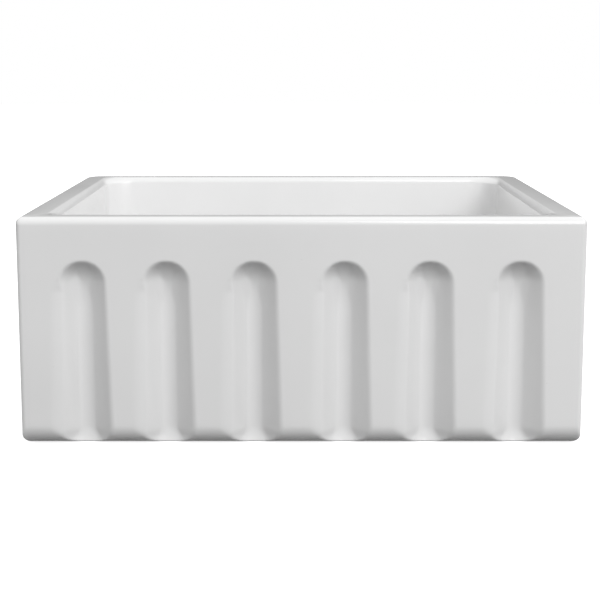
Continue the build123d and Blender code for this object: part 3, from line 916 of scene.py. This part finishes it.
nut_across, nut_chamfer, nut_lip = 57.0, 2.0, 3.0
_, nut_bottom, nut_top = extent("coupling_nut")
corner_r = nut_across / sqrt(3)
thread_bore, lip_bore = outlet_outer_r + thread_gap, 20.0
coupling_nut = turned("coupling_nut_hexagon", [
    (corner_r - nut_chamfer, nut_bottom, 0.0), (corner_r, nut_bottom + nut_chamfer, 0.0),
    (corner_r, nut_top - nut_chamfer, 0.0), (corner_r - nut_chamfer, nut_top, 0.0),
    (thread_bore, nut_top, 0.6), (thread_bore, nut_bottom + nut_lip, 0.0),
    (lip_bore, nut_bottom + nut_lip, 0.3), (lip_bore, nut_bottom, 0.6)], chrome, step_mm=0.5,
    radius_at=hexagon(nut_across, thread_bore))
seat(coupling_nut, "sink", "coupling_nut")

# %% [markdown]
# **Spider.** A small cross in the outlet carries the basket's tip. It is stamped from the same
# sheet as the cup: a rim, four arms and a hub with a hole.

# %% Spider
spider_rim_r = outlet_r - 2.0
hub_bore, hub_r = 3.3, 7.5
arm_middle, arm_length, arm_width, arm_corner = 12.75, 14.5, 4.5, 0.4
arm_inset = 0.1                          # arms are thinner by this on both faces, so none coincide
spider = turned("spider_cross", flat_ring(spider_rim_r, seat_r, spider_bottom, seat_z,
                                          (0.3, 0.2, 0.2, 0.3)), steel)
hub = turned("hub", flat_ring(hub_bore, hub_r, spider_bottom, seat_z, (0.3, 0.4, 0.4, 0.3)), steel)
with_copies(spider, "UNION", hub, 1)
arm = block(rounded_box((arm_middle, 0), (arm_length, arm_width), arm_corner),
            spider_bottom + arm_inset, seat_z - arm_inset)
with_copies(spider, "UNION", arm, 4)
seat(spider, "sink", "outlet_spider")

# %% [markdown]
# **Basket.** The cup is thin sheet, drawn to a tapered pot and pierced twice: three circles of
# round holes in the floor and one row of upright slots in the side. The holes are cut through the
# thickness of the sheet, so their edges show from above as they do on the real one.

# %% Basket cup
basket_rim_r, basket_under, basket_rim_z = extent("basket_cup")
sheet, rim_width, floor_r, bend = 0.9, 3.0, 31.0, 3.0
basket_floor_z = basket_under + sheet
side_top_r = basket_rim_r - rim_width
side_height = basket_rim_z - sheet - basket_under
shift = sheet * hypot(side_top_r - floor_r, side_height) / side_height
post_bore = 4.05
basket = turned("basket_perforated", [
    (basket_rim_r, basket_rim_z - sheet, 0.3), (basket_rim_r, basket_rim_z, 0.4),
    (side_top_r - shift, basket_rim_z, bend / 2), (floor_r - shift, basket_floor_z, bend - sheet),
    (post_bore, basket_floor_z, 0.0), (post_bore, basket_under, 0.0), (floor_r, basket_under, bend),
    (side_top_r, basket_rim_z - sheet, 0.5)], steel)
hole_rings, hole_pitch, hole_r = (13.0, 20.0, 27.0), 10.0, 2.2
slots, slot_width, slot_height, slot_from, slot_to = 16, 3.2, 12.0, 26.0, 44.0
first = pi / slots
for hole_ring in hole_rings:
    hole = block(rounded_box((hole_ring, 0), (2 * hole_r, 2 * hole_r), hole_r, steps=4),
                 basket_under - 1, basket_floor_z + 1)
    with_copies(basket, "DIFFERENCE", hole, round(2 * pi * hole_ring / hole_pitch), first)
slot_z = (basket_rim_z + basket_floor_z) / 2
slot = block(rounded_box((0, slot_z), (slot_width, slot_height), slot_width / 2, steps=4),
             slot_from, slot_to, along_x=True)
with_copies(basket, "DIFFERENCE", slot, slots, first)
seat(basket, "basket", "basket_cup")

# %% [markdown]
# **Post, knob and stopper.** The post is turned bar with a collar, and its thin pin ends in the
# nylon tip. The knob is a dished mushroom that two fingers can lift. Below the cup a rubber bell
# is held by a plate and a thin nut, and closes on the sloping seat when the basket is pushed down.

# %% Post and knob
_, post_low, post_high = extent("basket_post")
_, knob_z, knob_top = extent("basket_knob")
_, stem_nut_low, stem_nut_high = extent("stem_nut")
post_r, pin_r, post_collar_r, post_collar_t, post_gap = 4.0, 2.5, 6.5, 2.0, 0.1
collar_low = basket_floor_z + post_gap
collar_top = collar_low + post_collar_t
post = turned("post_turned", [
    (0, post_high, 0), (post_r, post_high, 0.4), (post_r, collar_top, 0.3),
    (post_collar_r, collar_top, 1.0), (post_collar_r, collar_low, 0.3), (post_r, collar_low, 0),
    (post_r, stem_nut_low, 0.6), (pin_r, stem_nut_low, 0), (pin_r, post_low, 0.3), (0, post_low, 0)],
    steel, step_mm=2.0)
seat(post, "basket_stem", "basket_post")

knob_r = extent("basket_knob")[0]
neck_r, neck_height, knob_dish, knob_gap = 5.2, 4.0, 1.2, 0.02
knob_bore, cap_z = post_r + knob_gap, knob_z + neck_height
knob = turned("knob_mushroom", [
    (knob_bore, knob_z, 0.3), (neck_r, knob_z, 0.4), (neck_r, cap_z, 1.0), (knob_r, cap_z, 2.5),
    (knob_r, knob_top, 5.0), (neck_r + 1, knob_top, 2.0), (0, knob_top - knob_dish, 0), (0, cap_z, 0),
    (knob_bore, cap_z, 0)], chrome, step_mm=1.5)
seat(knob, "basket_stem", "basket_knob", angle=50)

# %% Stopper, plate and stem nut
bell_r, _, bell_top = extent("stopper_seal")
plate_r, plate_low, plate_top = extent("seal_plate")
bell_bore, bell_shoulder_r, bell_lip, bell_gap = 4.3, 22.0, 2.4, 0.3
shoulder_z = mix(bell_top, plate_top, 2 / 3)
seat_slope = (cup_floor_z - seat_z) / (cup_r - seat_r)
lip_low = seat_z + (bell_r - seat_r) * seat_slope + bell_gap
stopper = turned("stopper_rubber_bell", [
    (bell_bore, bell_top, 0.2), (bell_shoulder_r, bell_top, 0.8), (bell_r, shoulder_z, 1.5),
    (bell_r, lip_low, 0.5), (bell_r - bell_lip, lip_low - bell_lip * seat_slope, 0.5),
    (plate_r + bell_gap, plate_top, 0.8), (bell_bore, plate_top, 0.2)], rubber, step_mm=1.5)
seat(stopper, "basket", "stopper_seal")
plate = turned("stopper_plate", flat_ring(post_bore, plate_r, plate_low, plate_top,
                                          (0.1, 0.5, 0.3, 0.1)), steel)
seat(plate, "basket", "seal_plate")

stem_across, stem_chamfer, stem_edge, stem_turn = 11.0, 0.7, 0.3, 17
stem_corner = stem_across / sqrt(3)
stem_nut = turned("stem_nut_hexagon", [
    (stem_corner - stem_chamfer, stem_nut_low, 0), (stem_corner, stem_nut_low + stem_chamfer, 0),
    (stem_corner, stem_nut_high - stem_edge, 0), (stem_corner - stem_edge, stem_nut_high, 0),
    (post_r, stem_nut_high, 0), (post_r, stem_nut_low, 0)], chrome, step_mm=0.3,
    radius_at=hexagon(stem_across, post_r), turn=radians(stem_turn))
seat(stem_nut, "basket_stem", "stem_nut")

# %% [markdown]
# **Plain rings.** The seals, the washer and the split tip are simple solids, right as the
# construction model has them, so they stay and only get their finish.

# %% Finishes of the kept nodes
for node, material in (("flange_seal", putty), ("rubber_gasket", rubber), ("friction_ring", fibre),
                       ("outlet_washer", nylon), ("snap_tip", nylon)):
    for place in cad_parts[node].material_slots:
        place.material = material
print("kept with a finish: seals, washer and tip")

# %% [markdown]
# **Studio.** White on white needs care. The floor and the world are white where the camera or a
# reflection looks at them, but throw back little light, as a grey table would, so that the round
# under the apron can go dark. The shadow on the floor stays. The studio is laid out in metres.


# %% Floor and world
mirrored_floor, seen_floor = 0.22, 0.72  # the floor's own light: in reflections, and to the camera
bounced_sky, seen_sky = 0.68, 1.0        # strength of the world: for bounced light, and to the eye


def looked_at(tree):
    """1 for rays from the camera or a reflection or through clear pieces, and 0 for bounced light."""
    rays = add(tree, "ShaderNodeLightPath").outputs
    seen = add(tree, "ShaderNodeMath", {"operation": "MAXIMUM"}, i0=rays["Is Camera Ray"],
               i1=rays["Is Glossy Ray"])
    return add(tree, "ShaderNodeMath", {"operation": "MAXIMUM"}, i0=seen.outputs[0],
               i1=rays["Is Transmission Ray"]).outputs[0]


def studio_floor():
    """Painted board: white to the camera, with a little glow, and grey to everything else."""
    material, tree = new_material("studio_floor")
    seen = looked_at(tree)
    colour = add(tree, "ShaderNodeMix", {"data_type": "RGBA"}, i0=seen, i6=linear("464646"),
                 i7=linear("e8e8e8"))
    matte = add(tree, "ShaderNodeBsdfDiffuse", Color=colour.outputs[2])
    camera_ray = add(tree, "ShaderNodeLightPath").outputs["Is Camera Ray"]
    glow = add(tree, "ShaderNodeMapRange", i0=camera_ray, i1=0.0, i2=1.0, i3=mirrored_floor,
               i4=seen_floor)
    glow = add(tree, "ShaderNodeMath", {"operation": "MULTIPLY"}, i0=glow.outputs[0], i1=seen)
    light = add(tree, "ShaderNodeEmission", Color=linear("ffffff"), Strength=glow.outputs[0])
    both = add(tree, "ShaderNodeAddShader", i0=matte.outputs[0], i1=light.outputs[0])
    add(tree, "ShaderNodeOutputMaterial", i0=both.outputs[0])
    return material


FLOOR_SIDES = 48
floor_hole_r, floor_r = 0.08, 9.0


def floor_with_hole():
    """A wide floor with a round opening under the drain, where the outlet hangs through."""
    mesh = bmesh.new()
    ways = [2 * pi * side / FLOOR_SIDES for side in range(FLOOR_SIDES)]
    inner, outer = [[mesh.verts.new((radius * cos(way), radius * sin(way), 0)) for way in ways]
                    for radius in (floor_hole_r, floor_r)]
    for i in range(FLOOR_SIDES):
        j = (i + 1) % FLOOR_SIDES
        mesh.faces.new((inner[i], outer[i], outer[j], inner[j]))
    return as_object("studio_floor", mesh, [studio_floor()])


floor_with_hole()

world = bpy.data.worlds.new("studio_world")
bpy.context.scene.world = world
world.use_nodes = True
sky = world.node_tree
sky.nodes.clear()
sky_strength = add(sky, "ShaderNodeMapRange", i0=looked_at(sky), i1=0.0, i2=1.0, i3=bounced_sky,
                   i4=seen_sky)
sky_light = add(sky, "ShaderNodeBackground", Color=linear("ffffff"), Strength=sky_strength.outputs[0])
add(sky, "ShaderNodeOutputWorld", i0=sky_light.outputs[0])
print("floor and world made")

# %% [markdown]
# **Lamps.** One large soft box high on the right gives the flutes their shaded side. A long low one
# behind keeps the back white: it lies so low that the rim hardly catches it. Four grey flags stand
# behind and beside the sink, out of the camera's sight, as a studio does for glassy things: the
# glaze then has something grey to reflect along its edges and rim.


# %% Lamps and flags
def soft_box(name, place, aim, width, height, power):
    """A glowing rectangle that is turned towards a place."""
    data = bpy.data.lights.new(name, "AREA")
    data.shape = "RECTANGLE"
    data.size = width
    data.size_y = height
    data.energy = power
    lamp = placed(name, data)
    lamp.location = place
    lamp.rotation_euler = (Vector(aim) - Vector(place)).to_track_quat("-Z", "Y").to_euler()
    return lamp


soft_box("key", place=(2.3, -4.0, 3.6), aim=(0.0, 0.0, 0.15), width=4.0, height=4.0, power=210.0)
fill = soft_box("fill", place=(-1.7, 4.0, 0.45), aim=(0.0, 0.0, 0.12), width=3.0, height=0.6, power=75.0)
fill.visible_glossy = False


def flag(name, start, end, low, high, grey):
    """A grey upright card over the line between two places, which only reflections see."""
    data = bpy.data.meshes.new(name)
    corners = [(*start, low), (*end, low), (*end, high), (*start, high)]
    data.from_pydata(corners, [], [(0, 1, 2, 3)])
    material, tree = new_material(name)
    light = add(tree, "ShaderNodeEmission", Color=linear(grey), Strength=1.0)
    add(tree, "ShaderNodeOutputMaterial", i0=light.outputs[0])
    data.materials.append(material)
    card = placed(name, data)
    card.visible_camera = False
    card.visible_diffuse = False
    card.visible_shadow = False


flag_x, behind_x, front_y, behind_y = 2.0, 3.0, -1.5, 2.5
dark, light = "707070", "a8a8a8"
flag("flag_behind", (-behind_x, behind_y), (behind_x, behind_y), 0.0, 0.65, dark)
flag("flag_above", (-behind_x, behind_y), (behind_x, behind_y), 0.65, 1.3, light)
flag("flag_left", (-flag_x, front_y), (-flag_x, behind_y), 0.0, 1.4, dark)
flag("flag_right", (flag_x, front_y), (flag_x, behind_y), 0.0, 1.4, dark)
bpy.context.scene.view_settings.view_transform = "Standard"
print("lamps:", len(bpy.data.lights))
